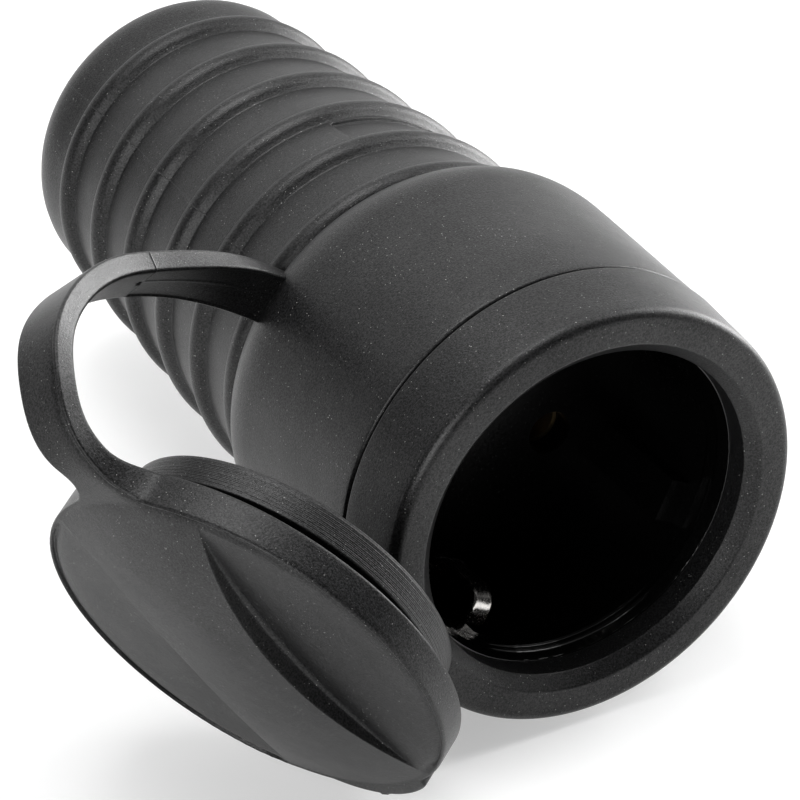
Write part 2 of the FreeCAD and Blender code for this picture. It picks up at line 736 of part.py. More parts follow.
def clamp_saddle():
    """Arched saddle that presses the cable on the shelf."""
    width = clamp_screw_spacing + pillar_size
    body = block((width, saddle_width, saddle_thick), (0, saddle_middle, pillar_top + saddle_thick / 2))
    arch_foot = Vector(0, saddle_middle - saddle_width / 2, pillar_top)
    body = body.fuse(rod(saddle_arch + saddle_thick, arch_foot, saddle_width))
    drop = saddle_arch + saddle_thick + overrun
    below = block((width + 2 * overrun, saddle_width + 2 * overrun, drop),
                  (0, saddle_middle, pillar_top - drop / 2))
    tunnel = rod(saddle_arch, Vector(0, saddle_middle - saddle_width, pillar_top), 2 * saddle_width)
    body = body.cut(below).cut(tunnel)
    for side in (-1, 1):
        hole = Vector(side * clamp_screw_spacing / 2, saddle_middle, pillar_top - overrun)
        hole_length = saddle_thick + 2 * overrun
        body = body.cut(rod(clamp_screw_radius + screw_slip, hole, hole_length, Vector(0, 0, 1)))
        seat = Vector(side * clamp_screw_spacing / 2, saddle_middle, pillar_top + saddle_thick)
        body = body.cut(rod(clamp_head_radius + slip, seat, saddle_arch + overrun, Vector(0, 0, 1)))
    return rolled(body.removeSplitter())


def clamp_screw(side):
    """Saddle screw that reaches down to its nut."""
    x = side * clamp_screw_spacing / 2
    low = shelf_level - shelf_thick - clamp_screw_tail
    head = pillar_top + saddle_thick
    up = Vector(0, 0, 1)
    body = rod(clamp_screw_radius, Vector(x, saddle_middle, low), head - low + overlap, up)
    body = body.fuse(rod(clamp_head_radius, Vector(x, saddle_middle, head), clamp_head_height, up))
    slot_run = 2 * (clamp_head_radius + overrun)
    slot = block((slot_run, slot_width, 2 * slot_depth), (x, saddle_middle, head + clamp_head_height))
    return rolled(body.cut(slot))


def clamp_nut(side):
    """Square nut in its pocket under the shelf."""
    x = side * clamp_screw_spacing / 2
    top = shelf_level - shelf_thick + nut_thick / 2
    body = block((nut_size, nut_size, nut_thick), (x, saddle_middle, top - nut_thick / 2))
    hole = Vector(x, saddle_middle, top - nut_thick - overrun)
    hole_length = nut_thick + 2 * overrun
    return rolled(body.cut(rod(clamp_screw_radius + screw_slip, hole, hole_length, Vector(0, 0, 1))))


def build():
    """All the pieces by name."""
    pieces = {"rubber_handle": rubber_handle(), "cap_with_strap": cap_with_strap(),
              "socket_insert": socket_insert(), "contact_carrier": contact_carrier(),
              "earth_bow": earth_bow(), "clamp_saddle": clamp_saddle()}
    for name, side in (("live", -1), ("neutral", 1)):
        pieces[name + "_contact"] = pin_contact(side)
        pieces[name + "_contact_spring"] = contact_spring(side)
    for name in ("live", "neutral", "earth"):
        pieces[name + "_terminal"] = terminal_cage(name)
        pieces[name + "_terminal_screw"] = terminal_screw(name)
    for number, label in enumerate(("upper", "lower")):
        pieces["carrier_screw_" + label] = carrier_screw(number)
    for side, label in ((-1, "left"), (1, "right")):
        pieces["clamp_screw_" + label] = clamp_screw(side)
        pieces["clamp_nut_" + label] = clamp_nut(side)
    return pieces


def write(pieces):
    """One file for each piece."""
    os.makedirs("parts", exist_ok=True)
    for name, shape in pieces.items():
        shape.exportStep("parts/" + name + ".step")


write(build())
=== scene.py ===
"""Looks of a splash-proof inline socket: black rubber, dark insert, nickelled clips and a pale studio."""
import json
import math

import bmesh
import bpy
import numpy as np
from mathutils import Matrix, Vector


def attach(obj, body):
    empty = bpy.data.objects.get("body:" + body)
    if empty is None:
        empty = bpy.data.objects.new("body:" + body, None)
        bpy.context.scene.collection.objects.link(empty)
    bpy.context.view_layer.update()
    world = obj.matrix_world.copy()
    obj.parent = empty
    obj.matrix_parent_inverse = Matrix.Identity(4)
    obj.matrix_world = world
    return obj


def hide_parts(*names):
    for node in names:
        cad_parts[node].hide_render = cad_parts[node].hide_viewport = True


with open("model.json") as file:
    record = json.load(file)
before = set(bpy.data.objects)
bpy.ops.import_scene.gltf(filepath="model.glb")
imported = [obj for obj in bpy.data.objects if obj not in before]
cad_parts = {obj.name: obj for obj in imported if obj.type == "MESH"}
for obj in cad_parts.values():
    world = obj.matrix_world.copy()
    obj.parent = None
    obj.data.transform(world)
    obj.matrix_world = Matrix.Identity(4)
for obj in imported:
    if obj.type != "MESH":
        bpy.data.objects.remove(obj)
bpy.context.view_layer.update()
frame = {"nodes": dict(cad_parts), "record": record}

MM = 0.001
WELD = 1e-6
scene = bpy.context.scene

# Sizes are in millimetres and angles in degrees. The axis is Y, the mouth faces -Y and Z is up.

# Mouth and collar of the handle
MOUTH_RADIUS = 20.5
MOUTH_BEVEL = 1.5
MOUTH_EDGE = 0.15
BEVEL_EDGE = 0.5
RIM_FRONT = -24.0
RIM_RADIUS = 26.0
COLLAR_RADIUS = 26.7
COLLAR_EDGE = 1.3
COLLAR_REAR = -14.3
SEAT_RADIUS = 23.6
SEAT_GAP = 0.2
FILLET = 0.35

# Moulded insert and plug well
WELL_RADIUS = 19.8
WELL_FRONT = -17.5
INSERT_FRONT = -19.6
INSERT_RADIUS = 21.3
INSERT_ROLL = 26.0

# Ring that carries the strap
SLEEVE_FRONT = -14.0
SLEEVE_REAR = 15.2
SLEEVE_FRONT_RADIUS = 26.6
SLEEVE_FRONT_EDGE = 0.4
SLEEVE_SHOULDER = 6.5
SLEEVE_SHOULDER_RADIUS = 27.15
SLEEVE_SHOULDER_ROUND = 3.0
SLEEVE_REAR_RADIUS = 25.1
SLEEVE_SWELL = 0.55
SLEEVE_SKIN = 25.0
SLEEVE_WAVE = 0.04
SWELL_STEPS = 12

# Grip with its ribs
GRIP_FRONT_RADIUS = 24.3
GRIP_FRONT_EDGE = 0.3
FIRST_RIB = 18.4
RIB_COUNT = 6
RIB_PITCH = 10.35
LAST_RIB = FIRST_RIB + (RIB_COUNT - 1) * RIB_PITCH
RIB_HEIGHT = 1.15
RIB_CREST = 1.5
RIB_BROW = 2.0
RIB_FLANK = 45.0
RIB_FILLET = 1.0
RIB_FOOT = ((0.0, -0.12), (0.02, 0.02), (0.08, 0.12))
BROW_STEPS = 9
CREST_STEPS = 7
FILLET_STEPS = 5
CREST_FRONT = 24.5
CREST_REAR = 21.3
GRIP_START = SLEEVE_REAR + 0.3
GRIP_SKIN = 19.0
GRIP_WAVE = 0.03

# Tail, cable entry and wiring chamber
TAIL_RADIUS = 20.9
TAIL_ROUND = 6.0
REAR_END = 82.55
REAR_FALL = 0.01
CABLE_HOLE = 5.5
CABLE_EDGE = 0.6
CHAMBER_REAR = 68.55
CHAMBER_REAR_RADIUS = 15.0
CHAMBER_FRONT_RADIUS = 20.0
BORE_RADIUS = 21.5
CARRIER_REAR = 15.0

# Sunk panel and parting line of the grip
PANEL_MIDDLE = FIRST_RIB + 1.5 * RIB_PITCH
PANEL_DEPTH = 0.4
PANEL_LENGTH = 5.4
PANEL_FROM = 53.0
PANEL_TO = 91.0
PANEL_SOFT_TURN = 0.6
PANEL_SOFT_RUN = 0.12
PANEL_ROW_NEAR = 1e-4
PANEL_ROWS = (-0.14, -0.05, 0.05, 0.14)
PANEL_COLUMNS = (-0.6, -0.3, 0.1, 0.3, 0.6)
SEAM_ANGLE = 141.0
SEAM_RISE = 0.05
SEAM_WIDTH = 0.18
SEAM_COLUMNS = (-0.5, -0.3, -0.15, 0.0, 0.15, 0.3, 0.5)

# Strap: middle line and width direction at stations from the sleeve to the cap
STRAP_WIDTH = 6.3
STRAP_THICK = 2.65
STRAP_ROOT_ANGLE = 143.0
STRAP_ROOT_RADIUS = 24.9
STRAP_BED = 4.0
STRAP_ROUTE = [((-25.2, 13.2, 18.8), (0.52, -0.2, 0.83)), ((-30.9, 12.7, 21.8), (0.42, -0.45, 0.78)),
               ((-37.0, 11.9, 24.1), (0.38, -0.56, 0.73)), ((-42.3, 9.9, 26.1), (0.5, -0.53, 0.68)),
               ((-47.2, 6.3, 28.0), (0.58, -0.5, 0.64)), ((-51.7, 2.0, 29.2), (0.58, -0.52, 0.63)),
               ((-55.6, -2.7, 28.8), (0.5, -0.6, 0.62)), ((-57.8, -7.5, 26.0), (0.42, -0.65, 0.63)),
               ((-57.9, -11.7, 21.8), (0.34, -0.74, 0.58))]

# Mould marks of the strap, by the length along it
STRAP_SEAM = 21.2
STRAP_SEAM_RISE = 0.08
STRAP_SEAM_WIDTH = 0.1
STRAP_SEAM_OUTER = 0.6
OUTER_FACE_BAND = 0.3
INNER_FACE_BAND = 0.02
STRAP_STEP = 0.22
STRAP_STEP_RUN = 0.08
STRAP_STEP_FADE = (0.5, 3.0)
STRAP_LINE = 0.07
STRAP_LINE_PLACE = 0.35
STRAP_LINE_WIDTH = 0.12
STRAP_LINE_FADE = 0.8
STRAP_PIT = 0.3
STRAP_PIT_PLACE = (0.4, 0.45)
STRAP_PIT_SIZE = (0.34, 0.3)

# Cap: position, outline, crown, grip bar and scoops
CAP_CENTRE = Vector((-42.68, -21.34, -3.85))
CAP_HEADING = 28.8
CAP_DIP = 23.6
CAP_LEAN = 26.1
CAP_RADIUS = 24.5
CAP_THICK = 4.0
CAP_CROWN = 3.0
CAP_EDGE = 0.7
CAP_NEAR = 40.0
NECK_START = -30.0
NECK_END = -22.8
NECK_JOIN = -25.5
NECK_LEAD = 3.0
NECK_HALF = 7.5
NECK_FLARE = 3.07
NECK_FADE = 2.0
NECK_SOFT = 0.6
NECK_SOFT_FROM = (-24.6, -23.8)
NECK_SOFT_TO = (NECK_END - 0.4, NECK_END + NECK_FADE)
FLANGE_FROM = -29.0
FLANGE_TO = -23.0
TAB_START = 18.0
TAB_RIGHT = 9.5
TAB_REACH = 1.4
TAB_ROUND = 15.0
TAB_TURN = 8.0
TAB_SOFT = 0.35
TAB_THROW = CAP_RADIUS + TAB_REACH - TAB_ROUND
TAB_CENTRE = (TAB_THROW * math.cos(math.radians(TAB_TURN)), TAB_THROW * math.sin(math.radians(TAB_TURN)))
TIP_START = 22.0
TIP_HALF = 0.12
BAR_WAIST = 7.4
BAR_END = 11.2
BAR_REACH = 20.3
BAR_OVERRUN = 2.0
BAR_FADE = (BAR_REACH - 1.2, BAR_REACH + 1.4)
BAR_SHARE = 0.8
SCOOP_SLOPE = 1.0
WALL_TOP = -0.04
WALL_LOW = 0.13
FOOT_FROM = 0.08
FOOT_RUN = 0.7
FOOT_SHARE = 0.18
EDGE_ROUND = 0.35
CORNER_ROUND = 0.45

# Groove and thin lip inside the cap's edge
GROOVE_DEPTH = 0.42
GROOVE_PLACE = 0.42
GROOVE_WALL = 0.16
GROOVE_FADE = 0.42
GROOVE_OFF_WALL = 0.3
GROOVE_SIDE = (0.3, 1.5)
GROOVE_NECK = (-21.5, -17.5)
GROOVE_STRAP = (44.0, 58.0)
LIP_RISE = 0.12
LIP_PLACE = 0.2
LIP_WIDTH = 0.16

# Mesh density
HANDLE_SEGMENTS = 230
HANDLE_SPACING = 1.4
SLEEVE_SEGMENTS = 360
SLEEVE_SPACING = 0.8
PLUG_SEGMENTS = 288
PLUG_SPACING = 1.2
LIP_SEGMENTS = 540
LIP_SPACING = 0.6
CLIP_SPACING = 0.5
CLIP_EDGE_SPACING = 0.35

# Rows of the mesh of strap and cap
SIDE_ROWS = 7
INNER_ROWS = 32
CORNER_STEPS = 5
BAR_ROWS = 16
FLOOR_ROWS = 12
CAP_STATIONS = ((NECK_JOIN, -24.6, 6), (-24.5, -20.0, 22), (-19.6, TIP_START, 96))
TIP_STATIONS = 34
OUTLINE_GAP = 0.1
OUTLINE_POINTS = (60, 160, 120)
STRAP_ROWS = 131
MARK_ROWS = 50
MARKS_BEFORE = 0.8
MARKS_AFTER = 1.4
MARKS_CLEAR = 0.05
ROW_GAP = 1e-3
ROW_ROOM = 4.2
WALL_ROWS = (-0.5, -0.14, -0.07, -0.04, -0.015, 0.01, 0.03, 0.05, 0.07, 0.09, 0.115, 0.15, 0.22,
             0.33, 0.5, 0.85)
EDGE_ROWS = (2.4, 1.5, 1.0, 0.78, 0.64, 0.58, 0.52, 0.46, 0.41, 0.34, 0.26, 0.17, 0.09, 0.03, 0.0)

# Plug of the cap
PLUG_RADIUS = 20.3
PLUG_END_RADIUS = 20.0
PLUG_LENGTH = 6.1
PLUG_WALL = 2.4
PLUG_NECK_LENGTH = 2.3
PLUG_NECK_DEPTH = 1.2
PLUG_NECK_FILLET = 0.3
PLUG_NECK_EDGE = 0.22
PLUG_ROOT = 0.4
PLUG_END_FALL = 0.05
PLUG_END_EDGE = 0.5
RIDGE_START = 0.32
RIDGE_END = 0.43
RIDGE_STEPS = 58
RIDGE_RISE = 0.014
RIDGE_UNEVEN = 0.006

# Earth clips
BOW_BASE = 3.4
CLIP_REACH = WELL_RADIUS + 0.6
CLIP_INNER = WELL_RADIUS - 3.7
CLIP_KNEE = 4.0
CLIP_BEND = 7.4
CLIP_NOSE = 13.5
NOSE_ROUND = 2.1
NOSE_STEPS = 12
NOSE_GAP = 0.4
NOSE_LEAN = 0.16
CLIP_WIDTH = 2.8
CLIP_THICK = 0.8
CLIP_DISH = 0.05
CLIP_EDGE_SHARE = 0.42
CLIP_ROUNDS = (0, 0.7, 1.5, 2.5, 0)
TAIL_PLACE = 7.95
TAIL_FROM = 3.0
TAIL_TO = 23.0
TAIL_WIDTH = 3.0
TAIL_THICK = 0.9

# Front edges of the insert: beads by place and rise, round the lower side only
LIP_SKIN = 0.03
LIP_DEPTH = 1.5
LIP_SLOPE = 0.286
LIP_BEADS = ((0.1, 0.11), (-0.62, 0.05))
LIP_BEAD_STEPS = 8
LIP_BEAD_FROM = 248.0
LIP_BEAD_TO = 292.0
LIP_BEAD_FADE = (12.0, 14.0)
LIP_BEAD_BAND = 0.25
LIP_RIPPLE_BAND = 0.9
LIP_INSET = 0.2
LIP_LAND = 0.6
LIP_LAND_EDGE = 0.16
LIP_RIPPLE = 0.016

# Tones
RUBBER_TONE = (0.0024, 0.0024, 0.0025)
DUST_TONE = (0.34, 0.34, 0.33)
INSERT_TONE = (0.0012, 0.0012, 0.0012)
CARRIER_TONE = (0.03, 0.03, 0.03)
NICKEL_TONE = (0.78, 0.76, 0.73)
SHADED_BRASS_TONE = (0.3, 0.22, 0.12)
# Brass kept dark: real brass tone darkened by painted shade for the contacts deep in the pin holes
STEEL_TONE = (0.56, 0.57, 0.58)
FLOOR_TONES = ((0.60, 0.60, 0.60), (0.62, 0.62, 0.62))
WHITE = (1.0, 1.0, 1.0, 1.0)

# Floor, world and camera; each soft box has its place, its target, its size and its power in watts
FLOOR_LEVEL = -27.3
FLOOR_HALF = 6000.0
FLOOR_GLOW = 0.42
BRIGHT_SIDE = (0.38, 0.83, 0.4)
WORLD_DIM = 0.02
WORLD_BRIGHT = 1.2
SOFT_BOXES = [("top_box", (-50, 50, 450), (-10, 10, 0), (260, 260), 1.4),
              ("right_box", (560, 110, 80), (0, 0, 0), (360, 260), 3.8),
              ("left_box", (-520, -330, 240), (-20, 30, 0), (340, 340), 2.5),
              ("high_box", (430, -60, 420), (-20, -20, 0), (240, 240), 1.1)]
CAMERA_LENS = 174.6
CAMERA_SENSOR = 36.0
CAMERA_PLACE = Vector((-194.88, -326.13, 237.63))
CAMERA_FORWARD = Vector((0.41693, 0.74148, -0.52571))
CAMERA_RIGHT = Vector((0.87165, -0.49012, 0.0))
CAMERA_NEAR = 20.0
CAMERA_FAR = 50000.0


# Mesh helpers

def smooth(low, high, value):
    """Smooth step from 0 at low to 1 at high."""
    share = np.clip((value - low) / (high - low), 0.0, 1.0)
    return share * share * (3 - 2 * share)


def between(start, end, share):
    """Point on the line between two points."""
    return start[0] + (end[0] - start[0]) * share, start[1] + (end[1] - start[1]) * share


def new_object(name, vertices, faces):
    """Smooth-shaded mesh object from millimetre vertices, with outward normals."""
    mesh = bpy.data.meshes.new(name)
    mesh.from_pydata([tuple(float(c) * MM for c in vertex) for vertex in vertices], [], faces)
    mesh.update()
    work = bmesh.new()
    work.from_mesh(mesh)
    bmesh.ops.remove_doubles(work, verts=work.verts, dist=WELD)
    bmesh.ops.recalc_face_normals(work, faces=work.faces)
    work.to_mesh(mesh)
    work.free()
    mesh.polygons.foreach_set("use_smooth", [True] * len(mesh.polygons))
    obj = bpy.data.objects.new(name, mesh)
    scene.collection.objects.link(obj)
    return obj


def rounded(points, radii, steps):
    """Closed outline with an arc of the given radius at each corner (0 keeps the corner)."""
    out = []
    count = len(points)
    for i, (corner, radius) in enumerate(zip(points, radii)):
        here = np.array(corner, float)
        if not radius:
            out.append(tuple(here))
            continue
        before = np.array(points[i - 1], float) - here
        after = np.array(points[(i + 1) % count], float) - here
        before /= np.linalg.norm(before)
        after /= np.linalg.norm(after)
        angle = math.acos(float(np.clip(before @ after, -1, 1)))
        reach = radius / math.tan(angle / 2)
        middle = before + after
        middle /= np.linalg.norm(middle)
        centre = here + middle * (radius / math.sin(angle / 2))
        start = here + before * reach - centre
        stop = here + after * reach - centre
        sweep = math.acos(float(np.clip(start @ stop / radius ** 2, -1, 1)))
        for k in range(steps + 1):
            share = k / steps
            out.append(tuple(centre + start * math.sin((1 - share) * sweep) / math.sin(sweep)
                             + stop * math.sin(share * sweep) / math.sin(sweep)))
    return out


def turned_outline(corners, steps):
    """Outline of a turned piece from corners, each with its radius, place along the axis and fillet."""
    return rounded([corner[:2] for corner in corners], [corner[2] for corner in corners], steps)


def divided(line, spacing):
    """Open line with its long runs divided, without its last point."""
    out = []
    for point, following in zip(line, line[1:]):
        parts = max(1, math.ceil(math.dist(point, following) / spacing))
        out += [between(point, following, k / parts) for k in range(parts)]
    return out


def refined(outline, spacing):
    """Closed outline with its long runs divided."""
    return divided(outline + outline[:1], spacing)


def skin(rings, count, closed):
    """Faces between rings of points; a closed skin meets its start, an open one gets two end faces."""
    faces = []
    for i in range(rings if closed else rings - 1):
        j = (i + 1) % rings
        for k in range(count):
            m = (k + 1) % count
            faces.append((i * count + k, i * count + m, j * count + m, j * count + k))
    if not closed:
        faces.append(tuple(range(count)))
        faces.append(tuple(range((rings - 1) * count, rings * count)))
    return faces


def lathe(name, outline, segments, change=None, extra=()):
    """Closed ring turned about the Y axis; change(theta, radius, along) moves the radius."""
    profile = np.array(outline, float)
    theta = np.sort(np.concatenate([np.arange(segments) * (2 * math.pi / segments), np.radians(extra)]))
    radius = np.repeat(profile[:, 0][None, :], len(theta), 0)
    along = np.repeat(profile[:, 1][None, :], len(theta), 0)
    turn = np.repeat(theta[:, None], len(profile), 1)
    if change:
        radius = radius + change(turn, radius, along)
    vertices = np.stack([radius * np.cos(turn), along, radius * np.sin(turn)], 2).reshape(-1, 3)
    return new_object(name, vertices, skin(len(theta), len(profile), True))


def waviness(theta, along, height, lobes, twist, pitch, shifts):
    """Slight waviness of soft rubber."""
    return height * np.sin(lobes * theta + along * twist + shifts[0]) * np.sin(along * pitch + shifts[1])


# Rubber handle

def rib_points(along):
    """Grip rib: sharp front foot, straight flank, round crest and a fillet at the rear foot."""
    share = (along - FIRST_RIB) / (LAST_RIB - FIRST_RIB)
    crest = CREST_FRONT + share * (CREST_REAR - CREST_FRONT)
    land = crest - RIB_HEIGHT
    flank = math.radians(RIB_FLANK)
    drop = RIB_HEIGHT - RIB_BROW * (1 - math.cos(flank))
    foot = along - RIB_BROW * math.sin(flank) - drop / math.tan(flank)
    points = [(land + rise, foot + shift) for rise, shift in RIB_FOOT]
    for k in range(BROW_STEPS):
        turn = -flank * (1 - k / BROW_STEPS)
        points.append((crest - RIB_BROW * (1 - math.cos(turn)), along + RIB_BROW * math.sin(turn)))
    reach = RIB_CREST + RIB_FILLET
    half = math.sqrt(reach ** 2 - (reach - RIB_HEIGHT) ** 2)
    tilt = math.asin(half / reach)
    for k in range(CREST_STEPS + 1):
        turn = tilt * k / CREST_STEPS
        points.append((crest - RIB_CREST * (1 - math.cos(turn)), along + RIB_CREST * math.sin(turn)))
    for k in range(FILLET_STEPS - 1, -1, -1):
        turn = tilt * k / FILLET_STEPS
        rise = RIB_FILLET * (1 - math.cos(turn))
        points.append((land + rise, along + half - RIB_FILLET * math.sin(turn)))
    return points


def handle_outline():
    """Outline of the handle, from the mouth over the ribs and round the cable end."""
    grip = SLEEVE_REAR + SEAT_GAP
    corners = [(MOUTH_RADIUS, INSERT_FRONT, MOUTH_EDGE), (MOUTH_RADIUS, RIM_FRONT + MOUTH_BEVEL, FILLET),
               (MOUTH_RADIUS + MOUTH_BEVEL, RIM_FRONT, BEVEL_EDGE), (RIM_RADIUS, RIM_FRONT, COLLAR_EDGE),
               (COLLAR_RADIUS, COLLAR_REAR, FILLET), (SEAT_RADIUS, COLLAR_REAR, 0), (SEAT_RADIUS, grip, 0),
               (GRIP_FRONT_RADIUS, grip, GRIP_FRONT_EDGE)]
    for number in range(RIB_COUNT):
        corners += [point + (0,) for point in rib_points(FIRST_RIB + number * RIB_PITCH)]
    corners += [(TAIL_RADIUS, REAR_END - REAR_FALL, TAIL_ROUND), (CABLE_HOLE, REAR_END, CABLE_EDGE),
                (CABLE_HOLE, CHAMBER_REAR, 0), (CHAMBER_REAR_RADIUS, CHAMBER_REAR, 0),
                (CHAMBER_FRONT_RADIUS, CARRIER_REAR, 0), (BORE_RADIUS, CARRIER_REAR, 0),
                (BORE_RADIUS, INSERT_FRONT, 0)]
    return turned_outline(corners, 8)


def handle_relief(theta, radius, along):
    """Sunk panel, parting line and waviness of the grip."""
    degrees = np.degrees(theta)
    half_turn = (PANEL_TO - PANEL_FROM) / 2
    half_run = PANEL_LENGTH / 2
    off_turn = np.abs(degrees - (PANEL_FROM + PANEL_TO) / 2)
    off_run = np.abs(along - PANEL_MIDDLE)
    in_turn = 1 - smooth(half_turn - PANEL_SOFT_TURN, half_turn + PANEL_SOFT_TURN, off_turn)
    in_run = 1 - smooth(half_run - PANEL_SOFT_RUN, half_run + PANEL_SOFT_RUN, off_run)
    seam = SEAM_RISE * np.exp(-((degrees - SEAM_ANGLE) / SEAM_WIDTH) ** 2)
    seam = seam * smooth(SLEEVE_REAR, SLEEVE_REAR + 1, along)
    wave = waviness(theta, along, GRIP_WAVE, 3, 0.09, 0.21, (0.0, 1.3))
    on_grip = (radius > GRIP_SKIN) & (along > GRIP_START)
    return np.where(on_grip, seam + wave - PANEL_DEPTH * in_turn * in_run, 0.0)


def build_handle():
    """Turned handle, with rows and columns of its mesh on the panel's edges and the parting line."""
    outline = refined(handle_outline(), HANDLE_SPACING)
    ends = (PANEL_MIDDLE - PANEL_LENGTH / 2, PANEL_MIDDLE + PANEL_LENGTH / 2)
    edge_rows = sorted(end + shift for end in ends for shift in PANEL_ROWS)
    rows = []
    for point, following in zip(outline, outline[1:] + outline[:1]):
        rows.append(point)
        if min(point[0], following[0]) > GRIP_SKIN and following[1] > point[1] > SLEEVE_REAR:
            for place in edge_rows:
                if point[1] + PANEL_ROW_NEAR < place < following[1] - PANEL_ROW_NEAR:
                    rows.append(between(point, following, (place - point[1]) / (following[1] - point[1])))
    columns = [SEAM_ANGLE + step for step in SEAM_COLUMNS]
    columns += [end + step for end in (PANEL_FROM, PANEL_TO) for step in PANEL_COLUMNS]
    return lathe("grip_rubber", rows, HANDLE_SEGMENTS, handle_relief, columns)


# Cap sleeve

def build_sleeve():
    """Smooth ring that carries the strap."""
    inner = SEAT_RADIUS + SEAT_GAP
    shoulder = (SLEEVE_SHOULDER_RADIUS, SLEEVE_REAR - SLEEVE_SHOULDER)
    rear = (SLEEVE_REAR_RADIUS, SLEEVE_REAR)
    corners = [(inner, SLEEVE_FRONT, 0), (SLEEVE_FRONT_RADIUS, SLEEVE_FRONT, SLEEVE_FRONT_EDGE),
               shoulder + (SLEEVE_SHOULDER_ROUND,)]
    for k in range(1, SWELL_STEPS):
        share = k / SWELL_STEPS
        lift = SLEEVE_SWELL * 4 * share * (1 - share)
        radius, along = between(shoulder, rear, share)
        corners.append((radius + lift, along + lift, 0))
    corners += [rear + (FILLET,), (inner, SLEEVE_REAR, 0)]

    def relief(theta, radius, along):
        wave = waviness(theta, along, SLEEVE_WAVE, 2, 0.05, 0.16, (0.6, 0.4))
        return np.where(radius > SLEEVE_SKIN, wave, 0.0)

    outline = refined(turned_outline(corners, 6), SLEEVE_SPACING)
    return lathe("sleeve_rubber", outline, SLEEVE_SEGMENTS, relief)


# Strap and cap

def cap_matrix():
    """Frame of the open cap: X from neck to tip, Z outward."""
    heading, dip, lean = (math.radians(angle) for angle in (CAP_HEADING, CAP_DIP, CAP_LEAN))
    level = Vector((math.cos(heading), math.sin(heading), 0))
    outward = -level * math.cos(dip) - Vector((0, 0, math.sin(dip)))
    downhill = level * math.sin(dip) - Vector((0, 0, math.cos(dip)))
    tip = downhill * math.cos(lean) + outward.cross(downhill) * math.sin(lean)
    turn = Matrix((tip, outward.cross(tip), outward)).transposed().to_4x4()
    turn.translation = CAP_CENTRE
    return turn


CAP = cap_matrix()
CAP_SIDE = CAP.to_3x3() @ Vector((0, 1, 0))
CAP_OUT = CAP.to_3x3() @ Vector((0, 0, 1))


def strap_stations():
    """Middle line of the strap and its width directions, from the sleeve's edge into the cap."""
    angle = math.radians(STRAP_ROOT_ANGLE)
    radial = Vector((math.cos(angle), 0, math.sin(angle)))
    around = Vector((-math.sin(angle), 0, math.cos(angle)))
    root = radial * STRAP_ROOT_RADIUS + Vector((0, SLEEVE_REAR - STRAP_THICK / 2, 0))
    neck = CAP @ Vector((NECK_JOIN, 0, -STRAP_THICK / 2))
    bedded = CAP @ Vector((NECK_JOIN + STRAP_BED, 0, -STRAP_THICK / 2))
    route = [(Vector(place), Vector(width)) for place, width in STRAP_ROUTE]
    return [(root, -around)] + route + [(neck, CAP_SIDE), (bedded, CAP_SIDE)]


def spline(places, values, x):
    """Smooth curve through values at places, with its slope at x."""
    places = np.array(places, float)
    values = np.array(values, float)
    count = len(places)
    gap = np.diff(places)
    system = np.zeros((count, count))
    right = np.zeros((count, values.shape[1]))
    system[0, 0] = system[-1, -1] = 1.0
    for i in range(1, count - 1):
        system[i, i - 1], system[i, i], system[i, i + 1] = gap[i - 1], 2 * (gap[i - 1] + gap[i]), gap[i]
        right[i] = 6 * ((values[i + 1] - values[i]) / gap[i] - (values[i] - values[i - 1]) / gap[i - 1])
    bend = np.linalg.solve(system, right)
    k = min(max(int(np.searchsorted(places, x)) - 1, 0), count - 2)
    a, b, h = places[k + 1] - x, x - places[k], gap[k]
    left_pull = values[k] / h - bend[k] * h / 6
    right_pull = values[k + 1] / h - bend[k + 1] * h / 6
    value = (bend[k] * a ** 3 + bend[k + 1] * b ** 3) / (6 * h) + left_pull * a + right_pull * b
    slope = (-bend[k] * a ** 2 + bend[k + 1] * b ** 2) / (2 * h) - left_pull + right_pull
    return value, slope


def half_width(along, side):
    """Half width of the cap's outline at a place from neck to tip, on one side."""
    circle = math.sqrt(max(CAP_RADIUS ** 2 - along ** 2, 0.0))
    share = min(max((along - NECK_START) / (NECK_END - NECK_START), 0.0), 1.0)
    flare = STRAP_WIDTH / 2 + (NECK_HALF - STRAP_WIDTH / 2) * share ** NECK_FLARE
    if along > NECK_END + NECK_FADE:
        flare = 0.0
    soft = NECK_SOFT * float(smooth(*NECK_SOFT_FROM, along)) * (1 - float(smooth(*NECK_SOFT_TO, along)))
    width = max(circle, flare) + soft * math.log1p(math.exp(-abs(circle - flare) / NECK_SOFT))
    if along > TAB_START:
        arch = math.sqrt(max(TAB_ROUND ** 2 - (along - TAB_CENTRE[0]) ** 2, 0.0)) + side * TAB_CENTRE[1]
        if side > 0:
            arch = arch - TAB_SOFT * math.log1p(math.exp((arch - TAB_RIGHT) / TAB_SOFT))
        width = max(width, arch)
    return width


def cap_thickness(along):
    """Edge thickness, growing from the strap to the cap's flange."""
    return STRAP_THICK + (CAP_THICK - STRAP_THICK) * float(smooth(FLANGE_FROM, FLANGE_TO, along))


def bar_half(along):
    """Half width of the grip bar: an arc through its waist and its two ends."""
    rise = BAR_END - BAR_WAIST
    radius = (BAR_REACH ** 2 + rise ** 2) / (2 * rise)
    inside = np.clip(radius ** 2 - np.minimum(np.abs(along), BAR_REACH + BAR_OVERRUN) ** 2, 0, None)
    return BAR_WAIST + radius - np.sqrt(inside)


def tip_places(count):
    """Stations that crowd towards the tip."""
    start = math.acos((TIP_START - TAB_CENTRE[0]) / TAB_ROUND)
    turns = [start * (1 - k / count) for k in range(1, count + 1)]
    return [TAB_CENTRE[0] + TAB_ROUND * math.cos(turn) for turn in turns]


def cap_outline():
    """The cap's outline as a dense chain of points, to measure distances from."""
    side = TIP_START - OUTLINE_GAP
    places = [*np.linspace(NECK_START, -TIP_START, OUTLINE_POINTS[0]),
              *np.linspace(-side, side, OUTLINE_POINTS[1]), *tip_places(OUTLINE_POINTS[2])]
    return np.array([(along, side * half_width(along, side)) for side in (-1, 1) for along in places])


